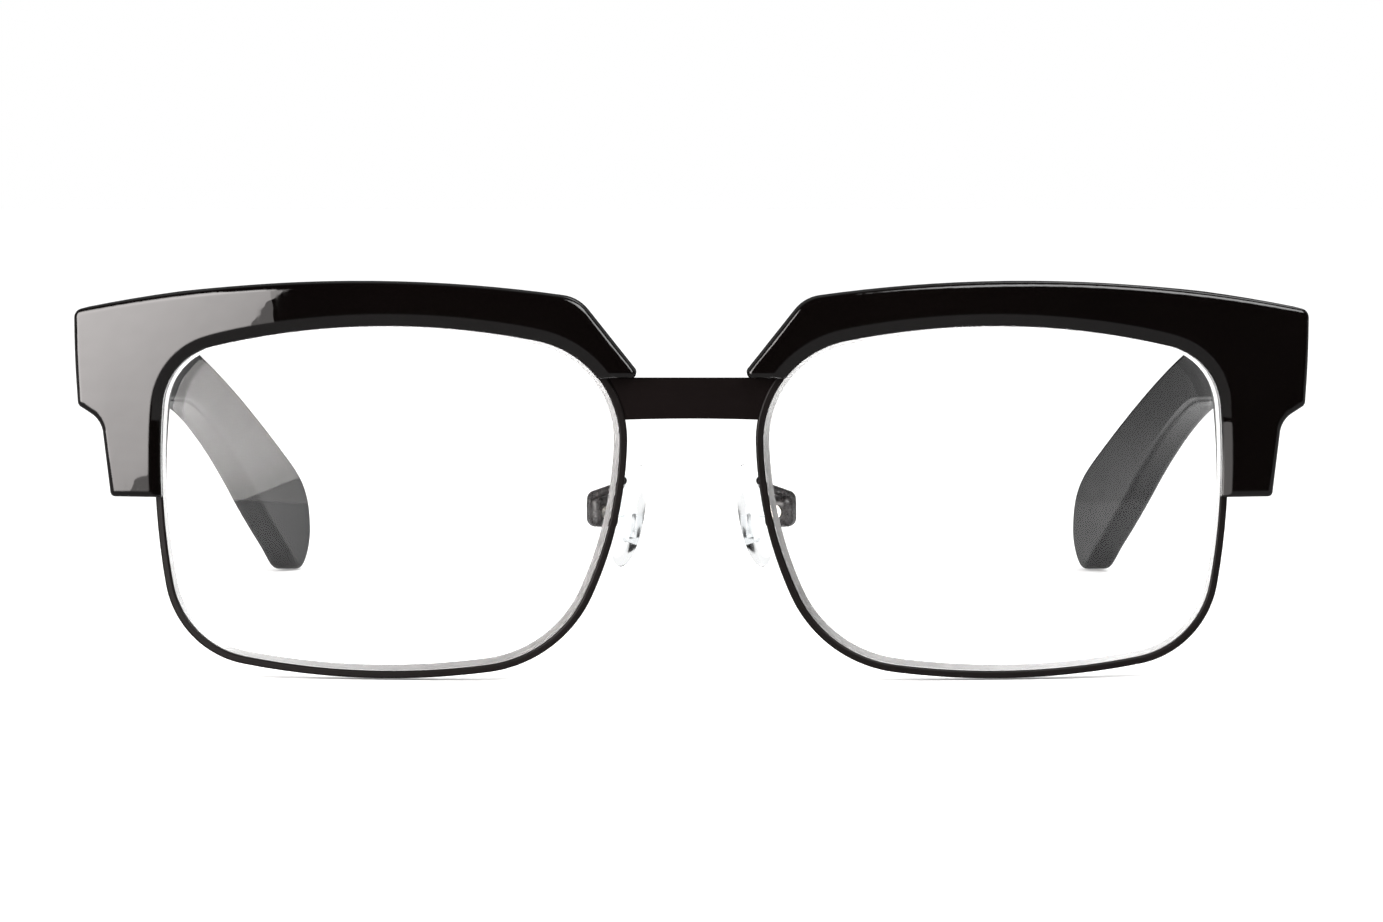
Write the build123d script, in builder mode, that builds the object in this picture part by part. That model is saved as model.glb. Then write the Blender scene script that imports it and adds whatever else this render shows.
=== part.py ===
"""Browline eyeglasses: acetate brows over full metal rims, folding temples and rocking nose pads.

Frame: +X to the wearer's left, -Y the way the wearer looks, +Z up. The rims and the temple tips
stand on z = 0, and the origin is the middle of that footprint. Sizes are millimetres. Each piece of
a pair is modelled on the wearer's left (+X) and mirrored for the right.
"""
import os
from math import asin, cos, radians, sin, sqrt

from build123d import *

# The front: one gentle wrap about a vertical axis, with every depth measured back from its face.
FRONT_Y = -70.7
FRONT_RADIUS = 350.0
PRISM = 90.0
TALL = 60.0
SIDE_VIEW_X = 45.0
SIDE_VIEW_REACH = 35.0

# Lens opening in front view: four bowed sides with rounded corners, from the nose round clockwise.
LENS_CORNERS = [(9.2, 37.35), (61.15, 37.25), (59.35, 3.85), (16.5, 3.0)]
LENS_BOWS = [3.9, 1.7, 2.5, 3.6]
LENS_CORNER_RADII = [11.8, 7.8, 10.4, 14.7]

RIM_WIDTH = 0.9
RIM_FRONT = 1.9
RIM_BACK = 4.1
GROOVE_DEEP = 0.42
GROOVE_FRONT = 2.5
GROOVE_BACK = 3.5
RIM_ROUND = 0.22

# Closing block: the rim is split beside the temple and clamped by an upright screw.
SPLIT_Z = 31.5
SPLIT_GAP = 0.2
LUG_BOTTOM = 28.6
LUG_TOP = 34.2
LUG_SIDE_X = 65.7
LUG_WIDE = 5.0
LUG_ROUND = 0.4
LOCK_SCREW_X = 64.2
LOCK_SCREW_Y = FRONT_Y + 9.0
LOCK_SCREW_RADIUS = 0.58
LOCK_HOLE = 0.6
LOCK_HEAD_RADIUS = 1.05
LOCK_HEAD_HIGH = 0.75
SLOT_WIDE = 0.3

# Brow screws enter from behind, through a tab on the rim and a tab on the endpiece.
TAB_X = 15.8
TAB_WIDE = 3.4
TAB_SCREW_Z = 42.0
TAB_FRONT = 4.33
TAB_BACK = 5.1
ENDPIECE_TAB_X = 64.2
ENDPIECE_TAB_SCREW_Z = 42.0
BROW_SCREW_RADIUS = 0.55
BROW_SCREW_HOLE = 0.6
BROW_SCREW_BITE = 2.6
BROW_HEAD_RADIUS = 1.05
BROW_HEAD_HIGH = 0.6
TAB_DROP = 1.5

LENS_RADIUS = 148.0
LENS_THICK = 2.0
LENS_CENTRE_X = 35.2
LENS_CENTRE_Z = 21.0
LENS_FACE_DEPTH = 0.5
BEVEL_OUT = 0.36

BRIDGE_TOP = 35.2
BRIDGE_BOTTOM = 30.35
BRIDGE_FRONT = 2.2
BRIDGE_BACK = 3.8

BROW_THICK = 4.3
BROW_SIDE_X = 72.25
BROW_TIP_Z = 35.25
BUTT_Y = FRONT_Y + 15.2
POCKET_SIDE_X = 66.1
POCKET_INNER_X = 62.6
POCKET_FLOOR_Y = FRONT_Y + 10.25
POCKET_BOTTOM = 27.3
POCKET_TOP = 43.3
POCKET_DEEP = 10.0
LUG_SEAT_INNER_X = 62.2
LUG_SEAT_TOP = 36.6
LUG_SEAT_DEEP = 2.6
BROW_ROUND = 0.6
BUTT_ROUND = 0.4
BEVEL_WIDE = 1.3
BEVEL_DEEP = 0.65
FIT_GAP = 0.03

# Endpiece: an upright plate inside the pocket, with a foot on the closing block and a screw tab.
ENDPIECE_INNER_X = 63.3
ENDPIECE_THICK = 1.3
PLATE_BEHIND = 10.32
PLATE_BACK_BEHIND = 15.3
FOOT_BEHIND = 8.0
FOOT_TOP = 36.4
TAB_THICK = 0.8
TAB_RADIUS = 1.15
TAB_Y = POCKET_FLOOR_Y + 0.07

# Hinge: five barrels on an upright screw, two of them on the temple.
HINGE_X = 65.0
HINGE_Y = FRONT_Y + 16.9
HINGE_BOTTOM = 34.45
BARREL_RADIUS = 1.25
BARREL_HEIGHT = 1.06
BARREL_GAP = 0.05
BARREL_STEP = BARREL_HEIGHT + BARREL_GAP
HINGE_TOP = HINGE_BOTTOM + 5 * BARREL_HEIGHT + 4 * BARREL_GAP
SCREW_RADIUS = 0.70
FRONT_BORE = 0.72
TEMPLE_BORE = 0.75
FRONT_LEVELS = (0, 2, 4)
TEMPLE_LEVELS = (1, 3)
PIVOT_HEAD_RADIUS = 1.1
PIVOT_HEAD_HIGH = 0.8
LEAF_THICK = 1.2
LEAF_REACH = 20.0
WEB_WIDE = 1.8
LEAF_FRONT_Y = FRONT_Y + 16.05
LEAF_BACK_Y = FRONT_Y + 27.0

# Temple: straight and level-sided to the bend, then falling and turning in to a broad tip.
TEMPLE_INNER_X = 66.5
TEMPLE_START_Y = BUTT_Y + 0.06
TEMPLE_OUTER_X = 71.9
BEND_Y = FRONT_Y + 75
TEMPLE_ROUND = 0.8
CORE_THICK = 1.2
CORE_TALL = 2.4

# Nose pad: its screw, the pivot, lies level and swings out to the rear by the splay angle.
PAD_PIVOT = (10.4, FRONT_Y + 12.2, 19.0)
PAD_SPLAY = 20.0
PAD_LEAN = 12.0
PAD_HEIGHT = 12.6
PAD_WIDTH = 7.2
PAD_BACK = 2.2
PAD_THICK = 2.2
BOX_LONG = 3.1
BOX_TALL = 3.8
BOX_BACK = 1.9
BOX_CORNER = 1.1
BOX_BACK_ROUND = 1.0
BOX_MOUTH = 1.3
BOX_SLOT = 1.7
BOX_SLOT_BACK = 1.25
STUD_RADIUS = 1.1
STUD_THICK = 1.3
NECK_TALL = 1.9
INSERT_HALF_WIDE = 2.0
INSERT_HALF_TALL = 4.2
INSERT_INSET = 0.7
INSERT_THICK = 0.6
PAD_SCREW_RADIUS = 0.5
PAD_HEAD_RADIUS = 0.85
PAD_HEAD_HIGH = 0.4
ARM_RADIUS = 0.5
ARM_ROOT_X = 8.0
ARM_ROOT_Z = 23.2
ARM_BEND = 0.6


def depth_y(x, depth):
    """The y of the point this far behind the front's face at x."""
    return FRONT_Y + FRONT_RADIUS - sqrt((FRONT_RADIUS - depth) ** 2 - x**2)


def bow_circle(start, end, bow):
    """Centre and radius of the arc from start to end, clockwise, that bows outwards by bow."""
    chord = Vector(*end) - Vector(*start)
    radius = (chord.length**2 / 4 + bow**2) / (2 * bow)
    inward = Vector(chord.Y, -chord.X).normalized()
    return (Vector(*start) + Vector(*end)) / 2 + inward * (radius - bow), radius


def rounding_centre(before, after, radius, corner):
    """Centre of the corner arc of this radius that is tangent inside two side arcs."""
    centre_a, reach_a = before[0], before[1] - radius
    centre_b, reach_b = after[0], after[1] - radius
    gap = centre_b - centre_a
    along = (reach_a**2 - reach_b**2 + gap.length**2) / (2 * gap.length)
    across = sqrt(reach_a**2 - along**2)
    foot = centre_a + gap.normalized() * along
    step = Vector(-gap.Y, gap.X).normalized() * across
    return min(foot + step, foot - step, key=lambda point: (point - Vector(*corner)).length)


def lens_outline(grow):
    """The lens opening in front view, grown outwards by grow."""
    sides = [
        bow_circle(corner, LENS_CORNERS[(number + 1) % 4], LENS_BOWS[number])
        for number, corner in enumerate(LENS_CORNERS)
    ]
    roundings = [
        rounding_centre(sides[number - 1], sides[number], LENS_CORNER_RADII[number], corner)
        for number, corner in enumerate(LENS_CORNERS)
    ]

    def tangent_point(side, corner):
        centre, radius = sides[side]
        return centre + (roundings[corner] - centre).normalized() * (radius + grow)

    with BuildSketch(Plane.XZ) as outline:
        with BuildLine():
            for number in range(4):
                following = (number + 1) % 4
                enter = tangent_point(number - 1, number)
                leave = tangent_point(number, number)
                finish = tangent_point(number, following)
                for centre, radius, start, end in (
                    (roundings[number], LENS_CORNER_RADII[number], enter, leave),
                    (*sides[number], leave, finish),
                ):
                    outwards = ((start + end) / 2 - centre).normalized()
                    ThreePointArc(start, centre + outwards * (radius + grow), end)
        make_face()
    return outline.sketch


def edges_at_depth(piece, *depths):
    """The edges of a piece that lie at these depths behind the front's face."""
    centre = Vector(0, FRONT_Y + FRONT_RADIUS, 0)

    def depth_of(edge):
        middle = edge @ 0.5
        return FRONT_RADIUS - Vector(middle.X - centre.X, middle.Y - centre.Y, 0).length

    return piece.edges().filter_by(lambda edge: min(abs(depth_of(edge) - d) for d in depths) < 0.01)


def on_outline(point, outline):
    """Whether a point, seen from the front, lies on the outline of a sketch."""
    seen = Vertex(point.X, 0, point.Z)
    return min(side.distance_to(seen) for side in outline.edges()) < 0.05


def side_point(behind, height):
    """A point of a side view, this far behind the front's foremost line."""
    return (FRONT_Y + behind, height)


def wrap_band(near, far):
    """Plan view of everything between two depths behind the front's face."""
    with BuildSketch(Plane.XY.offset(-5)) as band:
        with Locations((0, FRONT_Y + FRONT_RADIUS)):
            Circle(FRONT_RADIUS - near)
            Circle(FRONT_RADIUS - far, mode=Mode.SUBTRACT)
    return band.sketch


def export_piece(piece, name):
    piece.part.label = name
    export_step(piece.part, f"parts/{name}.step")


def export_pair(left, name):
    """Write a left piece and its mirror image, the right piece."""
    with BuildPart() as right:
        mirror(left.part, about=Plane.YZ)
    export_piece(left, f"left_{name}")
    export_piece(right, f"right_{name}")


os.makedirs("parts", exist_ok=True)
lens_opening = lens_outline(0)
rim_outside = lens_outline(RIM_WIDTH)

# ---------------------------------------------------------------- bridge
with BuildPart() as bridge:
    with BuildSketch(Plane.XZ) as bridge_face:
        with BuildLine():
            bridge_top = Line((-14, BRIDGE_TOP), (14, BRIDGE_TOP))
            Line(bridge_top @ 1, (14, BRIDGE_BOTTOM - 0.3))
            SagittaArc((14, BRIDGE_BOTTOM - 0.3), (-14, BRIDGE_BOTTOM - 0.3), -0.45)
            Line((-14, BRIDGE_BOTTOM - 0.3), bridge_top @ 0)
        make_face()
    extrude(amount=PRISM)
    extrude(wrap_band(BRIDGE_FRONT, BRIDGE_BACK), amount=TALL, mode=Mode.INTERSECT)
    extrude(rim_outside, amount=PRISM, mode=Mode.SUBTRACT)
    extrude(mirror(rim_outside, about=Plane.YZ), amount=PRISM, mode=Mode.SUBTRACT)
export_piece(bridge, "bridge")

# ---------------------------------------------------------------- rim
with BuildPart() as groove:
    extrude(lens_outline(GROOVE_DEEP), amount=PRISM)
    extrude(wrap_band(GROOVE_FRONT, GROOVE_BACK), amount=TALL, mode=Mode.INTERSECT)

with BuildPart() as tab_foot:
    extrude(rim_outside, amount=PRISM)
    extrude(lens_opening, amount=PRISM, mode=Mode.SUBTRACT)
    with BuildSketch(Plane.XZ) as foot_reach:
        with Locations((TAB_X, TAB_SCREW_Z - 3)):
            Rectangle(TAB_WIDE, 6)
    extrude(amount=PRISM, mode=Mode.INTERSECT)
    extrude(wrap_band(RIM_BACK - 0.4, TAB_FRONT + 0.1), amount=TALL, mode=Mode.INTERSECT)

with BuildPart() as tab_plate:
    with BuildSketch(Plane.XZ) as tab_face:
        with Locations((TAB_X, TAB_SCREW_Z)):
            Circle(TAB_WIDE / 2)
        with Locations((TAB_X, TAB_SCREW_Z - TAB_DROP)):
            Rectangle(TAB_WIDE, 2 * TAB_DROP)
        with Locations((TAB_X, TAB_SCREW_Z)):
            Circle(BROW_SCREW_HOLE, mode=Mode.SUBTRACT)
    extrude(amount=PRISM)
    extrude(wrap_band(TAB_FRONT, TAB_BACK), amount=TALL, mode=Mode.INTERSECT)

with BuildPart() as rim:
    extrude(rim_outside, amount=PRISM)
    with BuildSketch(Plane.XZ) as lugs:
        with Locations((LUG_SIDE_X - LUG_WIDE / 2, (LUG_BOTTOM + LUG_TOP) / 2)):
            RectangleRounded(LUG_WIDE, LUG_TOP - LUG_BOTTOM, LUG_ROUND)
    extrude(amount=PRISM)
    extrude(lens_opening, amount=PRISM, mode=Mode.SUBTRACT)
    extrude(wrap_band(RIM_FRONT, RIM_BACK), amount=TALL, mode=Mode.INTERSECT)
    fillet(edges_at_depth(rim, RIM_FRONT, RIM_BACK), RIM_ROUND)
    add(groove.part, mode=Mode.SUBTRACT)
    with BuildSketch(Plane.XZ) as split_slot:
        with Locations((LUG_SIDE_X - LUG_WIDE / 2, SPLIT_Z)):
            Rectangle(LUG_WIDE + 1, SPLIT_GAP)
    extrude(amount=PRISM, mode=Mode.SUBTRACT)
    with BuildSketch(Plane.XY.offset(LUG_BOTTOM)) as lock_hole:
        with Locations((LOCK_SCREW_X, LOCK_SCREW_Y)):
            Circle(LOCK_HOLE)
    extrude(amount=LUG_TOP - LUG_BOTTOM, mode=Mode.SUBTRACT)
    add(tab_foot.part)
    add(tab_plate.part)
export_pair(rim, "rim")

with BuildPart() as rim_lock_screw:
    with BuildSketch(Plane.XY.offset(LUG_BOTTOM)) as lock_shank:
        with Locations((LOCK_SCREW_X, LOCK_SCREW_Y)):
            Circle(LOCK_SCREW_RADIUS)
    extrude(amount=LUG_TOP - LUG_BOTTOM - 0.1)
    with BuildSketch(Plane.XY.offset(LUG_BOTTOM)) as lock_head:
        with Locations((LOCK_SCREW_X, LOCK_SCREW_Y)):
            Circle(LOCK_HEAD_RADIUS)
    extrude(amount=-LOCK_HEAD_HIGH)
    with BuildSketch(Plane.XY.offset(LUG_BOTTOM - LOCK_HEAD_HIGH)) as lock_slot:
        with Locations((LOCK_SCREW_X, LOCK_SCREW_Y)):
            Rectangle(3 * LOCK_HEAD_RADIUS, SLOT_WIDE)
    extrude(amount=LOCK_HEAD_HIGH / 2, mode=Mode.SUBTRACT)
export_pair(rim_lock_screw, "rim_lock_screw")

# ---------------------------------------------------------------- lens
wrap_angle = asin(LENS_CENTRE_X / FRONT_RADIUS)
lens_reach = FRONT_RADIUS - LENS_FACE_DEPTH - LENS_RADIUS
lens_ball = (
    lens_reach * sin(wrap_angle),
    FRONT_Y + FRONT_RADIUS - lens_reach * cos(wrap_angle),
    LENS_CENTRE_Z,
)
with BuildPart() as lens_bevel:
    extrude(lens_outline(BEVEL_OUT), amount=PRISM)
    extrude(lens_outline(-2), amount=PRISM, mode=Mode.SUBTRACT)
    extrude(wrap_band(GROOVE_FRONT + 0.15, GROOVE_BACK - 0.15), amount=TALL, mode=Mode.INTERSECT)

with BuildPart() as lens:
    with Locations(lens_ball):
        Sphere(LENS_RADIUS)
        Sphere(LENS_RADIUS - LENS_THICK, mode=Mode.SUBTRACT)
    extrude(lens_outline(-FIT_GAP), amount=PRISM, mode=Mode.INTERSECT)
    add(lens_bevel.part)
export_pair(lens, "lens")

# ---------------------------------------------------------------- brow
with BuildPart() as rim_seat:
    extrude(lens_outline(RIM_WIDTH + FIT_GAP), amount=PRISM)
    extrude(wrap_band(RIM_FRONT - FIT_GAP, RIM_BACK + 0.1), amount=TALL, mode=Mode.INTERSECT)

with BuildPart() as bar_rabbet:
    extrude(lens_outline(RIM_WIDTH + FIT_GAP), amount=PRISM)
    extrude(wrap_band(RIM_FRONT - FIT_GAP, 20), amount=TALL, mode=Mode.INTERSECT)
    with BuildSketch(Plane.XZ) as bar_reach:
        with Locations((29, 40)):
            Rectangle(56, 20)
    extrude(amount=PRISM, mode=Mode.INTERSECT)

with BuildPart() as brow:
    with BuildSketch(Plane.XZ) as brow_face:
        with BuildLine():
            nasal_slope = Line((5.75, BROW_TIP_Z), (13.1, 44.5))
            brow_top = ThreePointArc(nasal_slope @ 1, (40, 46.35), (BROW_SIDE_X, 42.9))
            outer_side = ThreePointArc(brow_top @ 1, (72.2, 37.5), (71.9, 31.75))
            notch = Line(outer_side @ 1, (69.1, 30.0))
            leg_side = Line(notch @ 1, (68.05, 21.05))
            leg_end = Line(leg_side @ 1, (56, 21.05))
            Polyline(leg_end @ 1, (30, 30), (14, BROW_TIP_Z), nasal_slope @ 0)
        make_face()
        for corner, radius in (
            (nasal_slope @ 0, 0.6),
            (nasal_slope @ 1, 4.5),
            (brow_top @ 1, 1.1),
            (outer_side @ 1, 0.8),
            (notch @ 1, 3.0),
            (leg_side @ 1, 0.6),
        ):
            fillet(brow_face.vertices().sort_by_distance(corner)[0], radius)
    extrude(amount=PRISM)
    with BuildSketch(Plane.XY.offset(-5)) as brow_plan:
        with BuildLine():
            face_line = ThreePointArc((4, depth_y(4, 0)), (40, depth_y(40, 0)), (75, depth_y(75, 0)))
            side_line = Line(face_line @ 1, (75, BUTT_Y))
            butt_line = Line(side_line @ 1, (61.2, BUTT_Y))
            back_line = ThreePointArc(
                (4, depth_y(4, BROW_THICK)), (28, depth_y(28, BROW_THICK)), (50, depth_y(50, BROW_THICK))
            )
            Spline(back_line @ 1, butt_line @ 1, tangents=(back_line % 1, (0.75, 0.65)))
            Line(back_line @ 0, face_line @ 0)
        make_face()
    extrude(amount=TALL, mode=Mode.INTERSECT)
    extrude(lens_opening, amount=PRISM, mode=Mode.SUBTRACT)
    # The face is bevelled towards the lens and rounded everywhere else.
    brow_face_side = brow.faces().filter_by(lambda f: abs(f.normal_at().Y) > 0.7).sort_by(SortBy.AREA)[-2:]
    bevel_edges = edges_at_depth(brow, 0).filter_by(lambda e: on_outline(e @ 0.5, lens_opening))
    chamfer(bevel_edges, BEVEL_WIDE, BEVEL_DEEP, reference=brow_face_side.sort_by(Axis.Y)[0])
    bevel_outline = lens_outline(BEVEL_WIDE)
    round_edges = edges_at_depth(brow, 0).filter_by(lambda e: not on_outline(e @ 0.5, bevel_outline))
    fillet(round_edges, BROW_ROUND)
    butt_edges = brow.edges().filter_by(lambda e: abs((e @ 0.5).Y - BUTT_Y) < 0.01 and (e @ 0.5).X > 66)
    fillet(butt_edges, BUTT_ROUND)
    add(rim_seat.part, mode=Mode.SUBTRACT)
    add(bar_rabbet.part, mode=Mode.SUBTRACT)
    # The leg thins towards its foot, behind the lens.
    with BuildSketch(Plane.YZ.offset(SIDE_VIEW_X)) as leg_back:
        with BuildLine():
            Polyline(
                side_point(16, 31.0),
                side_point(15.2, 31.0),
                side_point(12.4, 20.5),
                side_point(16, 20.5),
                close=True,
            )
        make_face()
    extrude(amount=SIDE_VIEW_REACH, mode=Mode.SUBTRACT)
    # Pocket from behind for the endpiece, and a deeper seat in front of it for the closing block.
    with BuildSketch(Plane.XZ.offset(-POCKET_FLOOR_Y)) as pocket:
        with Locations(((POCKET_INNER_X + POCKET_SIDE_X) / 2, (POCKET_BOTTOM + POCKET_TOP) / 2)):
            Rectangle(POCKET_SIDE_X - POCKET_INNER_X, POCKET_TOP - POCKET_BOTTOM)
    extrude(amount=-POCKET_DEEP, mode=Mode.SUBTRACT)
    with BuildSketch(Plane.XZ.offset(-POCKET_FLOOR_Y)) as lug_seat:
        with Locations(((LUG_SEAT_INNER_X + POCKET_SIDE_X) / 2, (POCKET_BOTTOM + LUG_SEAT_TOP) / 2)):
            Rectangle(POCKET_SIDE_X - LUG_SEAT_INNER_X, LUG_SEAT_TOP - POCKET_BOTTOM)
    extrude(amount=LUG_SEAT_DEEP, mode=Mode.SUBTRACT)
    with BuildSketch(Plane.XZ.offset(-POCKET_FLOOR_Y)) as screw_holes:
        with Locations((ENDPIECE_TAB_X, ENDPIECE_TAB_SCREW_Z)):
            Circle(BROW_SCREW_RADIUS + FIT_GAP)
    extrude(amount=BROW_SCREW_BITE, mode=Mode.SUBTRACT)
    with BuildSketch(Plane.XZ.offset(-depth_y(TAB_X, BROW_THICK + 1))) as rim_screw_hole:
        with Locations((TAB_X, TAB_SCREW_Z)):
            Circle(BROW_SCREW_RADIUS + FIT_GAP)
    extrude(amount=1 + BROW_SCREW_BITE, mode=Mode.SUBTRACT)
export_pair(brow, "brow")

# ---------------------------------------------------------------- endpiece and brow screws
with BuildPart() as endpiece:
    with BuildSketch(Plane.YZ.offset(ENDPIECE_INNER_X)) as bracket_side:
        with BuildLine():
            Polyline(
                side_point(FOOT_BEHIND, LUG_TOP),
                side_point(PLATE_BEHIND, LUG_TOP),
                side_point(PLATE_BEHIND, HINGE_BOTTOM),
                side_point(PLATE_BACK_BEHIND, HINGE_BOTTOM),
                side_point(PLATE_BACK_BEHIND, HINGE_TOP),
                side_point(PLATE_BEHIND, HINGE_TOP),
                side_point(PLATE_BEHIND, FOOT_TOP),
                side_point(FOOT_BEHIND, FOOT_TOP),
                close=True,
            )
        make_face()
    extrude(amount=ENDPIECE_THICK)
    with BuildSketch(Plane.XZ.offset(-TAB_Y)) as bracket_tab:
        with Locations((ENDPIECE_TAB_X, ENDPIECE_TAB_SCREW_Z)):
            Circle(TAB_RADIUS)
        with Locations((ENDPIECE_TAB_X, ENDPIECE_TAB_SCREW_Z - TAB_DROP)):
            Rectangle(2 * TAB_RADIUS, 2 * TAB_DROP + 0.4)
        with Locations((ENDPIECE_TAB_X, ENDPIECE_TAB_SCREW_Z)):
            Circle(BROW_SCREW_HOLE, mode=Mode.SUBTRACT)
    extrude(amount=-TAB_THICK)
export_pair(endpiece, "endpiece")

with BuildPart() as brow_screws:
    for x, z, head_y in (
        (TAB_X, TAB_SCREW_Z, depth_y(TAB_X, TAB_BACK) + 0.08),
        (ENDPIECE_TAB_X, ENDPIECE_TAB_SCREW_Z, TAB_Y + TAB_THICK + 0.02),
    ):
        with BuildSketch(Plane.XZ.offset(-head_y)) as screw_shank:
            with Locations((x, z)):
                Circle(BROW_SCREW_RADIUS)
        extrude(amount=TAB_THICK + BROW_SCREW_BITE)
        with BuildSketch(Plane.XZ.offset(-head_y)) as screw_head:
            with Locations((x, z)):
                Circle(BROW_HEAD_RADIUS)
        extrude(amount=-BROW_HEAD_HIGH)
        with BuildSketch(Plane.XZ.offset(-(head_y + BROW_HEAD_HIGH))) as screw_slot:
            with Locations((x, z)):
                Rectangle(3 * BROW_HEAD_RADIUS, SLOT_WIDE)
        extrude(amount=BROW_HEAD_HIGH / 2, mode=Mode.SUBTRACT)
export_pair(brow_screws, "brow_screws")


# ---------------------------------------------------------------- hinge
def barrels(levels):
    """Stacked hinge barrels at these levels, counted from the bottom, before they are bored."""
    with BuildPart() as stack:
        for level in levels:
            with BuildSketch(Plane.XY.offset(HINGE_BOTTOM + level * BARREL_STEP)) as barrel:
                with Locations((HINGE_X, HINGE_Y)):
                    Circle(BARREL_RADIUS)
            extrude(amount=BARREL_HEIGHT)
    return stack.part


def levels_of(plate, levels):
    """The slices of a tall plate that lie at these barrel levels."""
    with BuildPart() as slices:
        for level in levels:
            with BuildSketch(Plane.XY.offset(HINGE_BOTTOM + level * BARREL_STEP)) as slice_area:
                with Locations((HINGE_X, HINGE_Y)):
                    Rectangle(LEAF_REACH, LEAF_REACH)
            extrude(amount=BARREL_HEIGHT)
        add(plate, mode=Mode.INTERSECT)
    return slices.part


front_leaf_x = ENDPIECE_INNER_X + ENDPIECE_THICK
front_leaf_start = FRONT_Y + 11.4
front_leaf_end = BUTT_Y + 0.1
with BuildPart() as front_web:
    with BuildSketch(Plane.XY.offset(HINGE_BOTTOM)) as front_web_plan:
        with Locations((front_leaf_x + LEAF_THICK / 2, BUTT_Y + WEB_WIDE / 2)):
            Rectangle(LEAF_THICK, WEB_WIDE)
    extrude(amount=HINGE_TOP - HINGE_BOTTOM)

with BuildPart() as front_hinge:
    with BuildSketch(Plane.XY.offset(HINGE_BOTTOM)) as front_leaf_plan:
        with Locations((front_leaf_x + LEAF_THICK / 2, (front_leaf_start + front_leaf_end) / 2)):
            Rectangle(LEAF_THICK, front_leaf_end - front_leaf_start)
    extrude(amount=HINGE_TOP - HINGE_BOTTOM)
    add(levels_of(front_web.part, FRONT_LEVELS))
    add(barrels(FRONT_LEVELS))
    with BuildSketch(Plane.XY.offset(HINGE_BOTTOM)) as front_bore:
        with Locations((HINGE_X, HINGE_Y)):
            Circle(FRONT_BORE)
    extrude(amount=HINGE_TOP - HINGE_BOTTOM, mode=Mode.SUBTRACT)
export_pair(front_hinge, "front_hinge")

with BuildPart() as temple_web:
    with BuildSketch(Plane.XY.offset(HINGE_BOTTOM)) as temple_web_plan:
        with Locations((HINGE_X + 1, HINGE_Y)):
            Rectangle(2, 1.6)
    extrude(amount=HINGE_TOP - HINGE_BOTTOM)

with BuildPart() as temple_hinge:
    with BuildSketch(Plane.XY.offset(HINGE_BOTTOM)) as temple_leaf_plan:
        with Locations((TEMPLE_INNER_X + LEAF_THICK / 2, (LEAF_FRONT_Y + LEAF_BACK_Y) / 2)):
            Rectangle(LEAF_THICK, LEAF_BACK_Y - LEAF_FRONT_Y)
    extrude(amount=HINGE_TOP - HINGE_BOTTOM)
    fillet(temple_hinge.edges().filter_by(Axis.X).sort_by(Axis.Y)[-2:], 1.2)
    add(levels_of(temple_web.part, TEMPLE_LEVELS))
    add(barrels(TEMPLE_LEVELS))
    with BuildSketch(Plane.XY.offset(HINGE_BOTTOM)) as temple_bore:
        with Locations((HINGE_X, HINGE_Y)):
            Circle(TEMPLE_BORE)
    extrude(amount=HINGE_TOP - HINGE_BOTTOM, mode=Mode.SUBTRACT)
export_pair(temple_hinge, "temple_hinge")

with BuildPart() as hinge_screw:
    with BuildSketch(Plane.XY.offset(HINGE_BOTTOM - 0.1)) as pivot_shank:
        with Locations((HINGE_X, HINGE_Y)):
            Circle(SCREW_RADIUS)
    extrude(amount=HINGE_TOP - HINGE_BOTTOM + 0.1)
    with BuildSketch(Plane.XY.offset(HINGE_TOP)) as pivot_head:
        with Locations((HINGE_X, HINGE_Y)):
            Circle(PIVOT_HEAD_RADIUS)
    extrude(amount=PIVOT_HEAD_HIGH)
    with BuildSketch(Plane.XY.offset(HINGE_TOP + PIVOT_HEAD_HIGH)) as pivot_slot:
        with Locations((HINGE_X, HINGE_Y)):
            Rectangle(3 * PIVOT_HEAD_RADIUS, SLOT_WIDE)
    extrude(amount=-PIVOT_HEAD_HIGH / 2, mode=Mode.SUBTRACT)
export_pair(hinge_screw, "hinge_screw")

# ---------------------------------------------------------------- temple
with BuildPart() as temple_core:
    with BuildSketch(Plane.YZ.offset(SIDE_VIEW_X)) as core_side:
        with BuildLine():
            core_run = Line(side_point(30, 36.0), side_point(73, 32.1))
            core_bend = TangentArc(core_run @ 1, side_point(118, 17.4), tangent=core_run % 1)
            Line(core_bend @ 1, core_bend @ 1 + (core_bend % 1) * 14)
        trace(line_width=CORE_TALL)
    extrude(amount=SIDE_VIEW_REACH)
    with BuildSketch(Plane.XY.offset(-5)) as core_plan:
        with BuildLine():
            core_straight = Line((TEMPLE_INNER_X + 2.4, FRONT_Y + 20), (TEMPLE_INNER_X + 2.4, BEND_Y))
            TangentArc(core_straight @ 1, (58.3, FRONT_Y + 142), tangent=(0, 1))
        trace(line_width=CORE_THICK)
    extrude(amount=TALL, mode=Mode.INTERSECT)
export_pair(temple_core, "temple_core")

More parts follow.
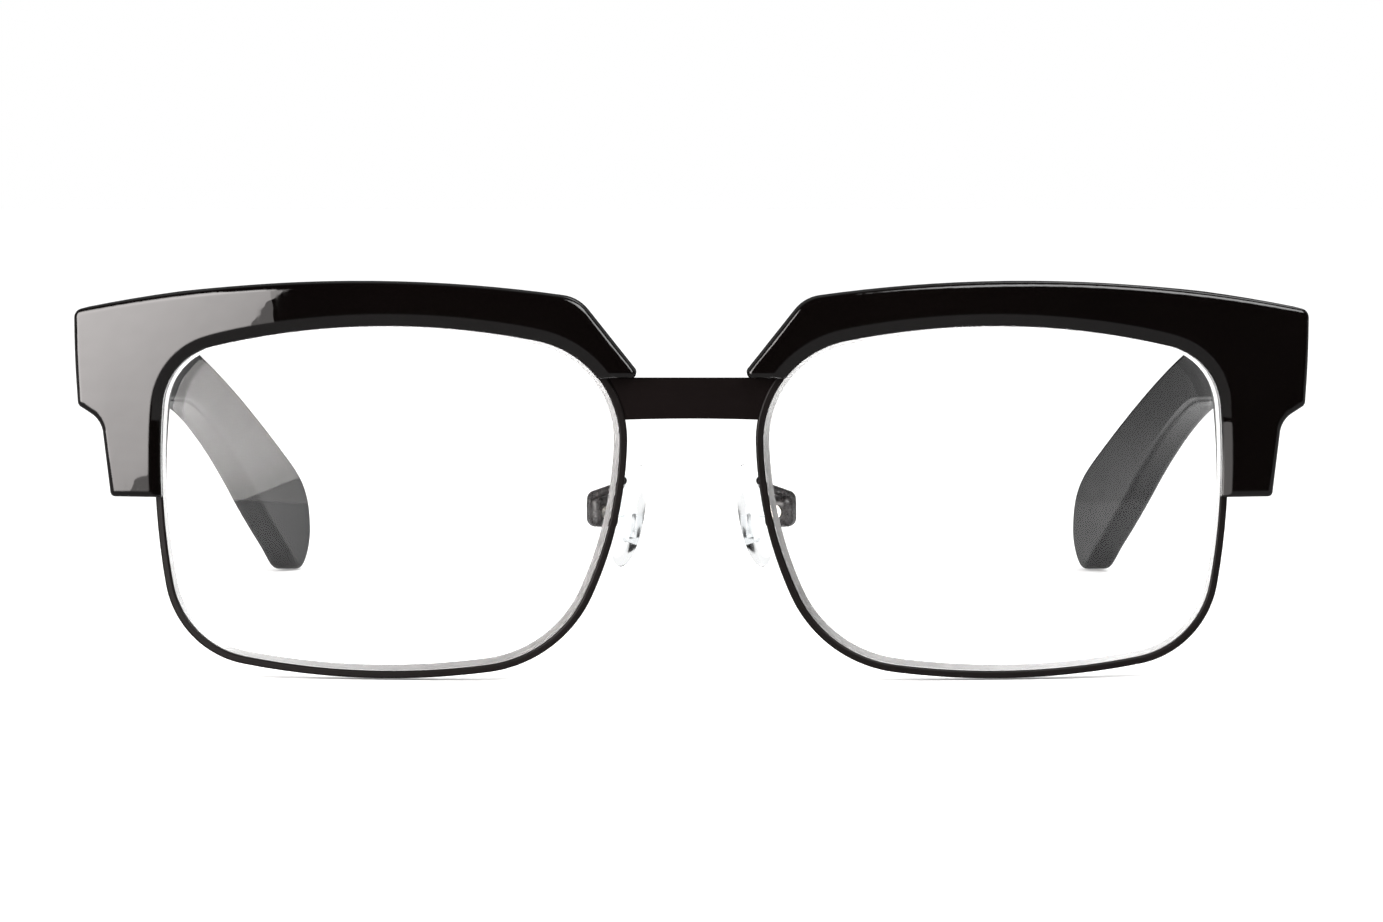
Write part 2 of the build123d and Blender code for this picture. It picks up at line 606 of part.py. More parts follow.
with BuildPart() as temple:
    with BuildSketch(Plane.YZ.offset(SIDE_VIEW_X)) as temple_side:
        with BuildLine():
            top_run = Line((TEMPLE_START_Y, 42.7), side_point(75, 35.9))
            top_bend = TangentArc(top_run @ 1, side_point(134, 16.2), tangent=top_run % 1)
            front_end = Line(top_run @ 0, (TEMPLE_START_Y, 31.8))
            under_run = Line(front_end @ 1, side_point(72, 28.3))
            under_bend = TangentArc(under_run @ 1, side_point(118, 12.6), tangent=under_run % 1)
            under_drop = Line(under_bend @ 1, under_bend @ 1 + (under_bend % 1) * 15)
            Spline(
                under_drop @ 1,
                side_point(137.4, 0),
                side_point(141.4, 5.4),
                top_bend @ 1,
                tangents=(under_drop % 1, (1, 0), (0, 1), -(top_bend % 1)),
            )
        make_face()
    extrude(amount=SIDE_VIEW_REACH)
    with BuildSketch(Plane.XY.offset(-5)) as temple_plan:
        with BuildLine():
            inner_run = Line((TEMPLE_INNER_X, TEMPLE_START_Y), (TEMPLE_INNER_X, BEND_Y))
            inner_bend = TangentArc(inner_run @ 1, (56, FRONT_Y + 142), tangent=(0, 1))
            outer_run = Line((TEMPLE_OUTER_X, TEMPLE_START_Y), (TEMPLE_OUTER_X - 0.9, BEND_Y))
            outer_bend = TangentArc(outer_run @ 1, (60.1, FRONT_Y + 142), tangent=outer_run % 1)
            Line(inner_run @ 0, outer_run @ 0)
            Line(inner_bend @ 1, outer_bend @ 1)
        make_face()
    extrude(amount=TALL, mode=Mode.INTERSECT)
    long_edges = temple.edges().filter_by(Axis.X, reverse=True).filter_by(Axis.Z, reverse=True)
    fillet(long_edges, TEMPLE_ROUND)
    # Shallow recess in the inner face for the hinge leaf, and the core wire's channel.
    with BuildSketch(Plane.XY.offset(HINGE_BOTTOM - FIT_GAP)) as leaf_recess:
        with Locations((TEMPLE_INNER_X + LEAF_THICK / 2, (LEAF_FRONT_Y + LEAF_BACK_Y) / 2)):
            Rectangle(LEAF_THICK + FIT_GAP, LEAF_BACK_Y - LEAF_FRONT_Y + 2 * FIT_GAP)
    extrude(amount=HINGE_TOP - HINGE_BOTTOM + 2 * FIT_GAP, mode=Mode.SUBTRACT)
    add(temple_core.part, mode=Mode.SUBTRACT)
export_pair(temple, "temple")

# ---------------------------------------------------------------- nose pad, its box and its arm
splay = radians(PAD_SPLAY)
towards_front = (-sin(splay), -cos(splay), 0)
towards_nose = (-cos(splay), sin(splay), 0)
box_plane = Plane(origin=PAD_PIVOT, x_dir=towards_front, z_dir=towards_nose)
screw_plane = Plane(origin=PAD_PIVOT, x_dir=towards_nose, z_dir=towards_front)
pad_plane = box_plane.rotated((PAD_LEAN, 0, 0))
stud_plane = Plane(origin=PAD_PIVOT, x_dir=pad_plane.z_dir, z_dir=towards_front)

with BuildPart() as pad_box:
    with BuildSketch(box_plane.offset(-BOX_BACK)) as box_outline:
        RectangleRounded(BOX_LONG, BOX_TALL, BOX_CORNER)
    extrude(amount=BOX_BACK + BOX_MOUTH)
    fillet(pad_box.faces().sort_by(Axis(PAD_PIVOT, towards_nose))[0].edges(), BOX_BACK_ROUND)
    with BuildSketch(box_plane.offset(-BOX_SLOT_BACK)) as box_slot:
        Rectangle(BOX_SLOT, BOX_TALL + 1)
    extrude(amount=BOX_SLOT_BACK + BOX_MOUTH + 1, mode=Mode.SUBTRACT)
    with BuildSketch(screw_plane) as box_hole:
        Circle(PAD_SCREW_RADIUS + 0.02)
    extrude(amount=4, both=True, mode=Mode.SUBTRACT)
export_pair(pad_box, "pad_box")

with BuildPart() as pad_screw:
    with BuildSketch(screw_plane) as pad_shank:
        Circle(PAD_SCREW_RADIUS)
    extrude(amount=BOX_LONG / 2, both=True)
    with BuildSketch(screw_plane.offset(BOX_LONG / 2)) as pad_head:
        Circle(PAD_HEAD_RADIUS)
    extrude(amount=PAD_HEAD_HIGH)
    with BuildSketch(screw_plane.offset(BOX_LONG / 2 + PAD_HEAD_HIGH)) as pad_slot:
        Rectangle(SLOT_WIDE, 4 * PAD_HEAD_RADIUS)
    extrude(amount=-PAD_HEAD_HIGH / 2, mode=Mode.SUBTRACT)
export_pair(pad_screw, "pad_screw")

with BuildPart() as pad_insert:
    with BuildSketch(stud_plane) as stud:
        Circle(STUD_RADIUS)
        with Locations(((PAD_BACK + INSERT_INSET) / 2, 0)):
            Rectangle(PAD_BACK + INSERT_INSET, NECK_TALL)
    extrude(amount=STUD_THICK / 2, both=True)
    with BuildSketch(pad_plane.offset(PAD_BACK + INSERT_INSET)) as insert_plate:
        Ellipse(INSERT_HALF_WIDE, INSERT_HALF_TALL)
    extrude(amount=INSERT_THICK)
    with BuildSketch(stud_plane) as stud_hole:
        Circle(PAD_SCREW_RADIUS + 0.05)
    extrude(amount=2, both=True, mode=Mode.SUBTRACT)
export_pair(pad_insert, "pad_insert")

with BuildPart() as nose_pad:
    with BuildSketch(pad_plane.offset(PAD_BACK)) as pad_outline:
        Ellipse(PAD_WIDTH / 2, PAD_HEIGHT / 2)
    extrude(amount=PAD_THICK)
    fillet(nose_pad.edges(), 0.8)
    add(pad_insert.part, mode=Mode.SUBTRACT)
export_pair(nose_pad, "nose_pad")

with BuildPart() as pad_arm:
    box_back = box_plane.offset(-(BOX_BACK + BOX_SLOT_BACK) / 2)
    arm_end = box_back.from_local_coords((0.0, BOX_TALL / 2 - 1.0, 0))
    arm_drop = box_back.from_local_coords((0.0, BOX_TALL / 2 - 0.1, 0))
    rim_back_y = depth_y(ARM_ROOT_X, RIM_BACK)
    with BuildLine() as arm_path:
        FilletPolyline(
            (ARM_ROOT_X, rim_back_y - 0.5, ARM_ROOT_Z),
            (ARM_ROOT_X + 0.3, rim_back_y + 4.2, ARM_ROOT_Z - 0.9),
            (arm_drop.X, arm_drop.Y, arm_drop.Z),
            (arm_end.X, arm_end.Y, arm_end.Z),
            radius=ARM_BEND,
        )
    with BuildSketch(Plane(origin=arm_path.line @ 0, z_dir=arm_path.line % 0)) as arm_section:
        Circle(ARM_RADIUS)
    sweep()
    add(rim.part, mode=Mode.SUBTRACT)
    add(pad_box.part, mode=Mode.SUBTRACT)
export_pair(pad_arm, "pad_arm")
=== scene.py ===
"""Browline eyeglasses: the looks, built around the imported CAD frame.

Row frame, metres: +X to the wearer's left, -Y the way the wearer looks, +Z up.
"""

import math

import bmesh
import bpy
from mathutils import Matrix, Vector


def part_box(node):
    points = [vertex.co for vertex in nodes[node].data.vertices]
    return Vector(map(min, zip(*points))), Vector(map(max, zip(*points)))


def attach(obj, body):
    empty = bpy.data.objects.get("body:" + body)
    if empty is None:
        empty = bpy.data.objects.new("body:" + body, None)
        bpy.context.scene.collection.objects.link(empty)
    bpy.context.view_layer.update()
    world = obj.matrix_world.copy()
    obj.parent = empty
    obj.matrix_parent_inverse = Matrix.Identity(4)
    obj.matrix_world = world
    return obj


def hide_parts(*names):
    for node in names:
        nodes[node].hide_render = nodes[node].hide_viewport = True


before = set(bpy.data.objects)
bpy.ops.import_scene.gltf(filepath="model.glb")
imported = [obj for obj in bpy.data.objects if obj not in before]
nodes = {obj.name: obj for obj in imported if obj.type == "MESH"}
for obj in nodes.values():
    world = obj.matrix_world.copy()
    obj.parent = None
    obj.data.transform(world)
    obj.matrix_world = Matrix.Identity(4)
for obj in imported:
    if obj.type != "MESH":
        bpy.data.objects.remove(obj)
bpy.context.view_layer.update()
scene = bpy.context.scene
MM = 0.001


# ---------------------------------------------------------------- materials
def new_material(name):
    """A new material, its node tree and its shader."""
    material = bpy.data.materials.new(name)
    material.use_nodes = True
    tree = material.node_tree
    shader = tree.nodes["Principled BSDF"]
    return material, tree, shader


def noise(tree, scale, detail=2.0, stretch=(1, 1, 1), roughness=0.5):
    """A noise height in the row frame's metres, so that its grain is one size on every piece."""
    place = tree.nodes.new("ShaderNodeTexCoord")
    mapping = tree.nodes.new("ShaderNodeMapping")
    mapping.inputs["Scale"].default_value = stretch
    texture = tree.nodes.new("ShaderNodeTexNoise")
    texture.inputs["Scale"].default_value = scale
    texture.inputs["Detail"].default_value = detail
    texture.inputs["Roughness"].default_value = roughness
    tree.links.new(place.outputs["Object"], mapping.inputs["Vector"])
    tree.links.new(mapping.outputs["Vector"], texture.inputs["Vector"])
    return texture.outputs["Fac"]


def specks(tree, scale, size):
    """Scattered round dots: 1 inside a dot, 0 outside."""
    place = tree.nodes.new("ShaderNodeTexCoord")
    cells = tree.nodes.new("ShaderNodeTexVoronoi")
    cells.inputs["Scale"].default_value = scale
    cells.inputs["Randomness"].default_value = 1.0
    tree.links.new(place.outputs["Object"], cells.inputs["Vector"])
    return ranged(tree, cells.outputs["Distance"], 0.0, size, 1.0, 0.0)


def ranged(tree, value, from_low, from_high, to_low, to_high):
    """The value mapped from one range to another, and held within it."""
    node = tree.nodes.new("ShaderNodeMapRange")
    node.inputs["From Min"].default_value = from_low
    node.inputs["From Max"].default_value = from_high
    node.inputs["To Min"].default_value = to_low
    node.inputs["To Max"].default_value = to_high
    tree.links.new(value, node.inputs["Value"])
    return node.outputs["Result"]


def product(tree, value, factor):
    """Two values multiplied."""
    node = tree.nodes.new("ShaderNodeMath")
    node.operation = "MULTIPLY"
    tree.links.new(value, node.inputs[0])
    tree.links.new(factor, node.inputs[1])
    return node.outputs["Value"]


def bumps(tree, shader, *layers, below=None):
    """Chains (height, distance in metres) layers of bump into the shader's normal."""
    for height, distance in layers:
        bump = tree.nodes.new("ShaderNodeBump")
        bump.inputs["Strength"].default_value = 1.0
        bump.inputs["Distance"].default_value = distance
        tree.links.new(height, bump.inputs["Height"])
        if below:
            tree.links.new(below, bump.inputs["Normal"])
        below = bump.outputs["Normal"]
    tree.links.new(below, shader.inputs["Normal"])


def two_tone(tree, shader, factor, dark, light):
    """Base colour between two tones."""
    mix = tree.nodes.new("ShaderNodeMix")
    mix.data_type = "RGBA"
    mix.inputs[6].default_value = (*dark, 1)
    mix.inputs[7].default_value = (*light, 1)
    tree.links.new(factor, mix.inputs[0])
    tree.links.new(mix.outputs[2], shader.inputs["Base Color"])


def set_on(shader, **values):
    """Plain values for the shader's own sockets, by name with _ for a space."""
    for name, value in values.items():
        shader.inputs[name.replace("_", " ")].default_value = value


def polished_acetate():
    """Hand-polished acetate: nearly a mirror, faintly uneven, with soft edges."""
    material, tree, shader = new_material("acetate_polished_black")
    cloud = noise(tree, 38, 2.0)
    two_tone(tree, shader, cloud, (0.0007, 0.0005, 0.0005), (0.0018, 0.0013, 0.0012))
    tree.links.new(
        ranged(tree, noise(tree, 900, 3.0, (1, 1, 0.25)), 0.35, 0.75, 0.0, 0.035),
        shader.inputs["Roughness"],
    )
    set_on(shader, IOR=1.5, Metallic=0.0)
    soft_edges = tree.nodes.new("ShaderNodeBevel")
    soft_edges.samples = 8
    soft_edges.inputs["Radius"].default_value = 0.4 * MM
    bumps(
        tree,
        shader,
        (noise(tree, 60, 1.0), 0.00006),
        (noise(tree, 190, 2.0), 0.000012),
        (specks(tree, 120, 0.05), -0.000006),
        below=soft_edges.outputs["Normal"],
    )
    return material


def tumbled_acetate():
    """Tumbled acetate, a little duller than the polished."""
    material, tree, shader = new_material("acetate_tumbled_black")
    cloud = noise(tree, 60, 3.0)
    two_tone(tree, shader, cloud, (0.0024, 0.0023, 0.0026), (0.0055, 0.0052, 0.0058))
    tree.links.new(
        ranged(tree, noise(tree, 420, 4.0, (1, 0.3, 1)), 0.3, 0.75, 0.15, 0.26),
        shader.inputs["Roughness"],
    )
    set_on(shader, IOR=1.5, Metallic=0.0)
    bumps(tree, shader, (noise(tree, 110, 1.0), 0.00003), (noise(tree, 900, 1.0), 0.0000003))
    return material


def black_plating(name, dark, light, rough_low, rough_high, gloss):
    """Black plated metal with a fine orange-peel skin."""
    material, tree, shader = new_material(name)
    cloud = noise(tree, 150, 3.0)
    two_tone(tree, shader, cloud, dark, light)
    tree.links.new(
        ranged(tree, noise(tree, 1400, 4.0), 0.3, 0.7, rough_low, rough_high),
        shader.inputs["Roughness"],
    )
    set_on(shader, IOR=1.5, Metallic=0.0, Specular_IOR_Level=gloss)
    bumps(tree, shader, (noise(tree, 2600, 3.0), 0.0000025), (noise(tree, 300, 1.0), 0.000006))
    return material


def brushed_metal(name, dark, light, rough_low, rough_high, stretch):
    """Bare metal, its grain drawn out along the axis where stretch is small."""
    material, tree, shader = new_material(name)
    grain = noise(tree, 2200, 4.0, stretch)
    two_tone(tree, shader, ranged(tree, grain, 0.3, 0.7, 0, 1), dark, light)
    tree.links.new(
        ranged(tree, grain, 0.3, 0.7, rough_low, rough_high), shader.inputs["Roughness"]
    )
    set_on(shader, Metallic=1.0)
    bumps(tree, shader, (grain, 0.0000025))
    return material


def clear_glass():
    """A clear lens. Its low index stands for an anti-reflection coat, and a few specks are dull."""
    material, tree, shader = new_material("lens_clear")
    haze = noise(tree, 70, 3.0)
    two_tone(tree, shader, haze, (0.985, 0.992, 0.992), (0.995, 0.997, 0.997))
    tree.links.new(
        ranged(tree, specks(tree, 150, 0.035), 0.0, 1.0, 0.0, 0.12), shader.inputs["Roughness"]
    )
    set_on(shader, IOR=1.24, Transmission_Weight=1.0)
    return material


def ground_edge():
    """The lens's ground bevel: frosted, and tinted so that it shows pale grey on a white ground."""
    material, tree, shader = new_material("lens_ground_edge")
    grain = noise(tree, 4200, 3.0)
    two_tone(tree, shader, grain, (0.115, 0.097, 0.091), (0.195, 0.174, 0.163))
    tree.links.new(ranged(tree, grain, 0.3, 0.7, 0.3, 0.48), shader.inputs["Roughness"])
    set_on(shader, IOR=1.3, Transmission_Weight=0.97)
    bumps(tree, shader, (grain, 0.000008))
    return material


def clear_silicone():
    """Soft clear silicone."""
    material, tree, shader = new_material("silicone_clear")
    cloud = noise(tree, 240, 3.0)
    two_tone(tree, shader, cloud, (0.93, 0.945, 0.95), (0.98, 0.985, 0.985))
    tree.links.new(ranged(tree, noise(tree, 900, 2.0), 0.3, 0.7, 0.05, 0.16), shader.inputs["Roughness"])
    set_on(shader, IOR=1.08, Transmission_Weight=1.0)
    bumps(tree, shader, (noise(tree, 420, 2.0), 0.00001))
    return material


def clear_plastic():
    """Hard clear plastic."""
    material, tree, shader = new_material("insert_clear")
    cloud = noise(tree, 300, 3.0)
    two_tone(tree, shader, cloud, (0.90, 0.93, 0.95), (0.97, 0.98, 0.985))
    tree.links.new(ranged(tree, noise(tree, 1500, 2.0), 0.3, 0.7, 0.02, 0.1), shader.inputs["Roughness"])
    set_on(shader, IOR=1.05, Transmission_Weight=1.0)
    return material


ACETATE = polished_acetate()
TEMPLE_ACETATE = tumbled_acetate()
SATIN = black_plating(
    "metal_satin_black", (0.0034, 0.0026, 0.0024), (0.0062, 0.0048, 0.0046), 0.28, 0.42, 0.12
)
MATTE = black_plating(
    "metal_matte_black", (0.0022, 0.0013, 0.0012), (0.0040, 0.0026, 0.0025), 0.45, 0.6, 0.03
)
BOX_PLATING = black_plating(
    "metal_pad_box_black", (0.0060, 0.0050, 0.0050), (0.0120, 0.0100, 0.0100), 0.22, 0.36, 0.4
)
HINGE = brushed_metal(
    "metal_nickel_silver", (0.40, 0.39, 0.37), (0.66, 0.64, 0.60), 0.22, 0.42, (1, 0.08, 1)
)
STEEL = brushed_metal(
    "metal_screw_steel", (0.58, 0.54, 0.49), (0.86, 0.82, 0.76), 0.16, 0.34, (0.15, 1, 1)
)
WIRE = brushed_metal(
    "metal_core_wire", (0.45, 0.45, 0.44), (0.68, 0.68, 0.67), 0.25, 0.4, (1, 0.05, 1)
)
GLASS = clear_glass()
FROST = ground_edge()
SILICONE = clear_silicone()
INSERT = clear_plastic()

FINISHES = {
    "bridge": MATTE,
    "brow": ACETATE,
    "temple": TEMPLE_ACETATE,
    "rim": SATIN,
    "endpiece": SATIN,
    "pad_arm": BOX_PLATING,
    "pad_box": BOX_PLATING,
    "front_hinge": HINGE,
    "temple_hinge": HINGE,
    "hinge_screw": STEEL,
    "rim_lock_screw": STEEL,
    "brow_screws": STEEL,
    "pad_screw": STEEL,
    "temple_core": WIRE,
    "lens": GLASS,
    "nose_pad": SILICONE,
    "pad_insert": INSERT,
}
for name, node in nodes.items():
    finish = FINISHES[name.split("_", 1)[1] if "_" in name else name]
    if node.material_slots:
        for slot in node.material_slots:
            slot.material = finish
    else:
        node.data.materials.append(finish)


# ---------------------------------------------------------------- lens
# The lens opening, and the lens's two spheres about BALL, as the CAD has them, in millimetres.
FRONT_Y = -70.7
FRONT_RADIUS = 350.0
LENS_CORNERS = [Vector(c) for c in ((9.2, 37.35), (61.15, 37.25), (59.35, 3.85), (16.5, 3.0))]
LENS_BOWS = (3.9, 1.7, 2.5, 3.6)
LENS_ROUNDINGS = (11.8, 7.8, 10.4, 14.7)
LENS_MIDDLE = Vector((35.2, 21.0))
LENS_FRONT_RADIUS = 148.0
LENS_BACK_RADIUS = 146.0
LENS_FACE_DEPTH = 0.5
WRAP = math.asin(LENS_MIDDLE.x / FRONT_RADIUS)
BALL_REACH = FRONT_RADIUS - LENS_FACE_DEPTH - LENS_FRONT_RADIUS
BALL = Vector(
    (
        BALL_REACH * math.sin(WRAP),
        FRONT_Y + FRONT_RADIUS - BALL_REACH * math.cos(WRAP),
        LENS_MIDDLE.y,
    )
)
EDGE_GAP = 0.03
EDGE_THICK = 0.9
# The ground bevel is GROUND_WIDE at the nose, and these shares of it elsewhere.
GROUND_WIDE = 0.75
GROUND_TEMPLE_SHARE = 0.5
GROUND_TAPER = 0.6
GROUND_TOP_LOSS = 0.25
GROUND_TOP_REACH = 16.0
RIB_OUT = 0.36
RIB_DEPTHS = (2.65, 2.75, 3.25, 3.35)
LENS_RING_SHARES = (0.97, 0.9, 0.78, 0.62, 0.45, 0.28, 0.12)
ROUNDING_STEPS = 14
SIDE_STEPS = 22
POLISHED, GROUND = 0, 1


def bow_circle(start, end, bow):
    """Centre and radius of the arc from start to end that bows outwards by bow."""
    chord = end - start
    radius = (chord.length_squared / 4 + bow * bow) / (2 * bow)
    inward = Vector((chord.y, -chord.x)).normalized()
    return (start + end) / 2 + inward * (radius - bow), radius


def rounding_centre(before, after, radius, corner):
    """Centre of the corner arc of this radius, tangent inside two side arcs."""
    reach_a, reach_b = before[1] - radius, after[1] - radius
    gap = after[0] - before[0]
    along = (reach_a**2 - reach_b**2 + gap.length_squared) / (2 * gap.length)
    across = math.sqrt(reach_a**2 - along**2)
    foot = before[0] + gap.normalized() * along
    step = Vector((-gap.y, gap.x)).normalized() * across
    return min((foot + step, foot - step), key=lambda point: (point - corner).length)


def arc_points(centre, radius, start, end, steps):
    """Points clockwise from start up to, not including, end, at this radius from the centre."""
    first = math.atan2(start.y - centre.y, start.x - centre.x)
    last = math.atan2(end.y - centre.y, end.x - centre.x)
    sweep = (first - last) % (2 * math.pi)
    turns = [first - sweep * step / steps for step in range(steps)]
    return [centre + radius * Vector((math.cos(turn), math.sin(turn))) for turn in turns]


def lens_outline(grow):
    """The lens opening in front view, clockwise, grown outwards by grow."""
    sides = [
        bow_circle(corner, LENS_CORNERS[(number + 1) % 4], LENS_BOWS[number])
        for number, corner in enumerate(LENS_CORNERS)
    ]
    roundings = [
        rounding_centre(sides[number - 1], sides[number], LENS_ROUNDINGS[number], corner)
        for number, corner in enumerate(LENS_CORNERS)
    ]

    def touch(side, corner):
        middle, radius = sides[side]
        return middle + (roundings[corner] - middle).normalized() * radius

    outline = []
    for number in range(4):
        leave = touch(number, number)
        outline += arc_points(
            roundings[number],
            LENS_ROUNDINGS[number] + grow,
            touch(number - 1, number),
            leave,
            ROUNDING_STEPS,
        )
        outline += arc_points(
            sides[number][0],
            sides[number][1] + grow,
            leave,
            touch(number, (number + 1) % 4),
            SIDE_STEPS,
        )
    return outline


def ball_y(point, radius):
    """The y of a lens sphere at a point of the front view."""
    across = (point.x - BALL.x) ** 2 + (point.y - BALL.z) ** 2
    return BALL.y - math.sqrt(radius**2 - across)


def wrap_y(point, depth):
    """The y this far behind the front's face."""
    return FRONT_Y + FRONT_RADIUS - math.sqrt((FRONT_RADIUS - depth) ** 2 - point.x**2)


def ground_edges():
    """The lens's edge, and where its ground bevel ends: widest beside the nose."""
    edge, reach = lens_outline(-EDGE_GAP), lens_outline(-GROUND_WIDE)
    nose_x, temple_x = min(p.x for p in edge), max(p.x for p in edge)
    ends = []
    for outer, inner in zip(edge, reach):
        share = ((temple_x - outer.x) / (temple_x - nose_x)) ** GROUND_TAPER
        if outer.y > LENS_MIDDLE.y:
            share *= 1 - GROUND_TOP_LOSS * min(1, (outer.y - LENS_MIDDLE.y) / GROUND_TOP_REACH)
        ends.append(outer.lerp(inner, GROUND_TEMPLE_SHARE + (1 - GROUND_TEMPLE_SHARE) * share))
    return edge, ends


def lens_piece(name, side):
    """A clear lens with a ground edge, and the rib that sits in the rim's groove."""
    mesh = bmesh.new()

    def ring(points, depth_of):
        return [
            mesh.verts.new((side * p.x * MM, depth_of(p) * MM, p.y * MM)) for p in points
        ]

    def join(ring_a, ring_b, finish):
        count = len(ring_a)
        for step in range(count):
            following = (step + 1) % count
            face = mesh.faces.new(
                (ring_a[step], ring_a[following], ring_b[following], ring_b[step])
            )
            face.material_index = finish
            face.smooth = True

    def cap(ring_a, point, depth_of, finish):
        middle = mesh.verts.new((side * point.x * MM, depth_of(point) * MM, point.y * MM))
        for step, vert in enumerate(ring_a):
            face = mesh.faces.new((vert, ring_a[(step + 1) % len(ring_a)], middle))
            face.material_index = finish
            face.smooth = True

    def inwards(points, share):
        return [LENS_MIDDLE + (p - LENS_MIDDLE) * share for p in points]

    def front(point):
        return ball_y(point, LENS_FRONT_RADIUS)

    def back(point):
        return ball_y(point, LENS_BACK_RADIUS)

    edge, polished = ground_edges()
    front_rings = [ring(edge, front)]
    front_rings += [ring(inwards(edge, share), front) for share in LENS_RING_SHARES]
    for outer, inner in zip(front_rings, front_rings[1:]):
        join(outer, inner, POLISHED)
    cap(front_rings[-1], LENS_MIDDLE, front, POLISHED)
    wall = ring(edge, lambda p: front(p) + EDGE_THICK)
    join(front_rings[0], wall, GROUND)
    back_rings = [ring(polished, back)]
    join(wall, back_rings[0], GROUND)
    back_rings += [ring(inwards(polished, share), back) for share in LENS_RING_SHARES]
    for outer, inner in zip(back_rings, back_rings[1:]):
        join(outer, inner, POLISHED)
    cap(back_rings[-1], LENS_MIDDLE, back, POLISHED)
    rib_inside, rib_outside = lens_outline(0.0), lens_outline(RIB_OUT)
    rib = [
        ring(outline, lambda p, depth=depth: wrap_y(p, depth))
        for outline, depth in zip((rib_inside, rib_outside, rib_outside, rib_inside), RIB_DEPTHS)
    ]
    for number in range(4):
        join(rib[number], rib[(number + 1) % 4], GROUND)
    bmesh.ops.recalc_face_normals(mesh, faces=mesh.faces[:])
    data = bpy.data.meshes.new(name)
    mesh.to_mesh(data)
    mesh.free()
    data.materials.append(GLASS)
    data.materials.append(FROST)
    for edge_line in data.edges:
        edge_line.use_edge_sharp = False
    data.set_sharp_from_angle(angle=math.radians(20))
    lens = bpy.data.objects.new(name, data)
    scene.collection.objects.link(lens)
    # Light passes the clear pieces, so neither the lenses nor the pads cast a shadow.
    lens.visible_shadow = False
    return lens


for side_name, side in (("left", 1), ("right", -1)):
    lens = lens_piece(f"{side_name}_lens_polished", side)
    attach(lens, "front")
    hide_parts(f"{side_name}_lens")

# ---------------------------------------------------------------- nose pads
PAD_PIVOT = Vector((10.4, FRONT_Y + 12.2, 19.0))
PAD_SPLAY = math.radians(20)
PAD_LEAN = math.radians(12)
PAD_HALF_WIDE = 3.55
PAD_HALF_TALL = 6.2
PAD_MIDDLE = 3.3
PAD_HALF_THICK = 1.05
PAD_TAPER = 0.10
PAD_EDGE_FULLNESS = 5
PAD_STEPS = 56
PAD_RINGS = (0.999, 0.985, 0.955, 0.9, 0.82, 0.7, 0.52, 0.3)


def pad_frame():
    """Axes of a left pad: towards the front, up along the pad, and out of its face to the nose."""
    ahead = Vector((-math.sin(PAD_SPLAY), -math.cos(PAD_SPLAY), 0))
    nosewards = Vector((-math.cos(PAD_SPLAY), math.sin(PAD_SPLAY), 0))
    up = Vector((0, 0, 1))
    lean_up = up * math.cos(PAD_LEAN) + nosewards * math.sin(PAD_LEAN)
    lean_out = nosewards * math.cos(PAD_LEAN) - up * math.sin(PAD_LEAN)
    return ahead, lean_up, lean_out


def pad_piece(name, side):
    """A crowned, teardrop silicone pad, thin at its rim."""
    ahead, up, out = pad_frame()
    mesh = bmesh.new()

    def vert(reach, turn, share):
        wide = PAD_HALF_WIDE * (1 - PAD_TAPER * math.sin(turn)) * reach
        point = PAD_PIVOT + ahead * wide * math.cos(turn) + up * PAD_HALF_TALL * reach * math.sin(turn)
        point += out * (PAD_MIDDLE + share * PAD_HALF_THICK)
        return mesh.verts.new((side * point.x * MM, point.y * MM, point.z * MM))

    def ring(reach, share):
        turns = [2 * math.pi * step / PAD_STEPS for step in range(PAD_STEPS)]
        return [vert(reach, turn, share) for turn in turns]

    def thickness(reach):
        return math.sqrt(1 - reach**PAD_EDGE_FULLNESS)

    rings = [ring(reach, thickness(reach)) for reach in reversed(PAD_RINGS)]
    rings.append(ring(1.0, 0.0))
    rings += [ring(reach, -thickness(reach)) for reach in PAD_RINGS]
    for ring_a, ring_b in zip(rings, rings[1:]):
        for step in range(PAD_STEPS):
            following = (step + 1) % PAD_STEPS
            mesh.faces.new((ring_a[step], ring_a[following], ring_b[following], ring_b[step]))
    for ring_a, share in ((rings[0], 1.0), (rings[-1], -1.0)):
        middle = vert(0.0, 0.0, share)
        for step in range(PAD_STEPS):
            mesh.faces.new((ring_a[step], ring_a[(step + 1) % PAD_STEPS], middle))
    bmesh.ops.recalc_face_normals(mesh, faces=mesh.faces[:])
    for face in mesh.faces:
        face.smooth = True
    data = bpy.data.meshes.new(name)
    mesh.to_mesh(data)
    mesh.free()
    data.materials.append(SILICONE)
    pad = bpy.data.objects.new(name, data)
    scene.collection.objects.link(pad)
    pad.visible_shadow = False
    return pad


for side_name, side in (("left", 1), ("right", -1)):
    pad = pad_piece(f"{side_name}_nose_pad_soft", side)
    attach(pad, f"{side_name}_pad")
    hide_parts(f"{side_name}_nose_pad")
    nodes[f"{side_name}_pad_insert"].visible_shadow = False

# ---------------------------------------------------------------- stage
front_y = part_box("bridge")[0].y
centre = Vector((0, front_y, 0.035))
WHITE = (1.0, 1.0, 1.0)
WARM = (1.0, 0.955, 0.94)


